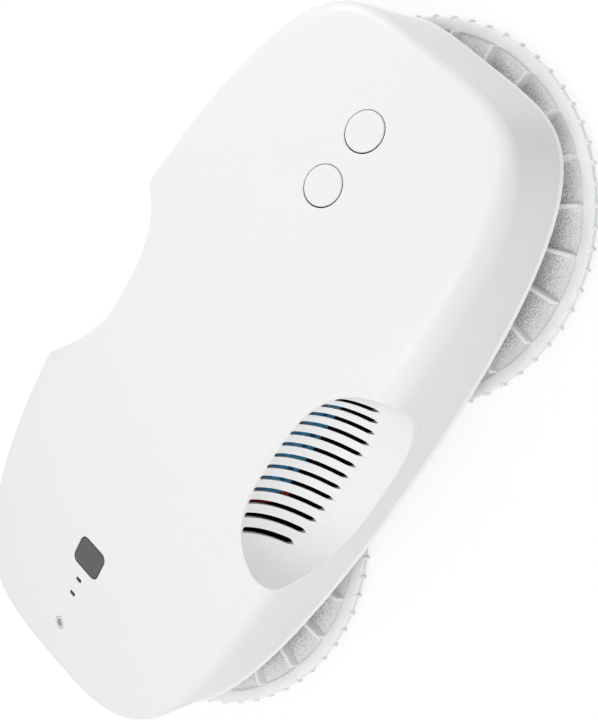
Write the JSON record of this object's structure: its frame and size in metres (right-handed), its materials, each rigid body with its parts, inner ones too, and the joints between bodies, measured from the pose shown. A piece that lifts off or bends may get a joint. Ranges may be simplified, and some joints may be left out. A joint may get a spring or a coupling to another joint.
{
  "type": "window cleaning robot",
  "caption": "Oblong glass-cleaning robot: two spinning pad discs under a crowned white case with slotted vent scoops in both long sides, a power button and round keys.",
  "frame": {"origin": "centre of the footprint on the glass, midway between the two disc axes, at the pads' cleaning face", "axes": "+X along the case towards the two round keys, +Y towards the rear vent scoop, +Z away from the glass"},
  "size_m": [0.2954, 0.1448, 0.0822],
  "materials": {
    "shell_white": "satin gloss",
    "disc_white": "satin",
    "key_white": "satin gloss",
    "button_grey": "matt",
    "black_plastic": "matt",
    "lens_grey": "clear gloss",
    "gasket_grey": "matt",
    "seal_rubber": "matt",
    "pad_fabric": "looped pile",
    "screw_steel": "bright",
    "spindle_aluminium": "turned",
    "bearing_steel": "polished",
    "motor_steel": "satin",
    "gear_plastic": "moulded",
    "cover_plastic": "moulded",
    "fan_blue": "moulded",
    "duct_plastic": "moulded",
    "board_green": "solder mask",
    "chip_black": "moulded",
    "cell_blue": "shrink film",
    "lead_red": "satin"
  },
  "bodies": {
    "chassis": {"top_shell": "shell_white", "base_tray": "shell_white", "front_grille": "shell_white", "rear_grille": "shell_white", "shell_gasket": "gasket_grey", "case_screws": "screw_steel", "tact_switches": "chip_black", "light_pipes": "black_plastic", "status_lens": "lens_grey", "main_board": "board_green", "board_parts": "chip_black", "board_screws": "screw_steel", "key_board": "board_green", "battery_cradle": "black_plastic", "battery_cells": "cell_blue", "battery_leads": "lead_red", "power_inlet": "black_plastic", "rope_lug": "motor_steel", "suction_duct": "duct_plastic", "spindle_seals": "seal_rubber", "fan_housing": "fan_blue", "fan_lid": "fan_blue", "fan_motor": "motor_steel", "left_bearings": "bearing_steel", "right_bearings": "bearing_steel", "left_gear_cover": "cover_plastic", "right_gear_cover": "cover_plastic", "left_motor": "motor_steel", "right_motor": "motor_steel"},
    "left_disc_unit": {"left_disc": "disc_white", "left_pad": "pad_fabric", "left_disc_screws": "screw_steel", "left_spindle": "spindle_aluminium", "left_gear": "gear_plastic", "left_clip": "bearing_steel"},
    "right_disc_unit": {"right_disc": "disc_white", "right_pad": "pad_fabric", "right_disc_screws": "screw_steel", "right_spindle": "spindle_aluminium", "right_gear": "gear_plastic", "right_clip": "bearing_steel"},
    "left_drive": {"left_motor_shaft": "motor_steel", "left_pinion": "gear_plastic"},
    "right_drive": {"right_motor_shaft": "motor_steel", "right_pinion": "gear_plastic"},
    "fan_rotor": {"fan_impeller": "cover_plastic", "fan_shaft": "motor_steel"},
    "power_key": {"power_button": "button_grey", "power_plunger": "black_plastic"},
    "inner_key_unit": {"inner_key": "key_white", "inner_plunger": "black_plastic"},
    "outer_key_unit": {"outer_key": "key_white", "outer_plunger": "black_plastic"}
  },
  "joints": [
    {"name": "left_disc_spin", "type": "hinge", "parent": "chassis", "child": "left_disc_unit", "pos_m": [-0.0753, 0, 0], "axis": [0, 0, 1], "continuous": true},
    {"name": "right_disc_spin", "type": "hinge", "parent": "chassis", "child": "right_disc_unit", "pos_m": [0.0753, 0, 0], "axis": [0, 0, 1], "continuous": true},
    {"name": "left_drive_spin", "type": "hinge", "parent": "chassis", "child": "left_drive", "pos_m": [-0.0753, -0.036, 0], "axis": [0, 0, 1], "continuous": true},
    {"name": "right_drive_spin", "type": "hinge", "parent": "chassis", "child": "right_drive", "pos_m": [0.0753, 0.036, 0], "axis": [0, 0, 1], "continuous": true},
    {"name": "fan_spin", "type": "hinge", "parent": "chassis", "child": "fan_rotor", "pos_m": [0.004, 0, 0], "axis": [0, 0, 1], "continuous": true},
    {"name": "power_press", "type": "slide", "parent": "chassis", "child": "power_key", "axis": [0, 0, -1], "range_m": [0, 0.0008], "stiffness_N_per_m": 400},
    {"name": "inner_key_press", "type": "slide", "parent": "chassis", "child": "inner_key_unit", "axis": [0, 0, -1], "range_m": [0, 0.0008], "stiffness_N_per_m": 400},
    {"name": "outer_key_press", "type": "slide", "parent": "chassis", "child": "outer_key_unit", "axis": [0, 0, -1], "range_m": [0, 0.0008], "stiffness_N_per_m": 400}
  ],
  "couplings": [
    {"joint": "left_drive_spin", "follows": "left_disc_spin", "ratio": -3},
    {"joint": "right_drive_spin", "follows": "right_disc_spin", "ratio": -3}
  ]
}
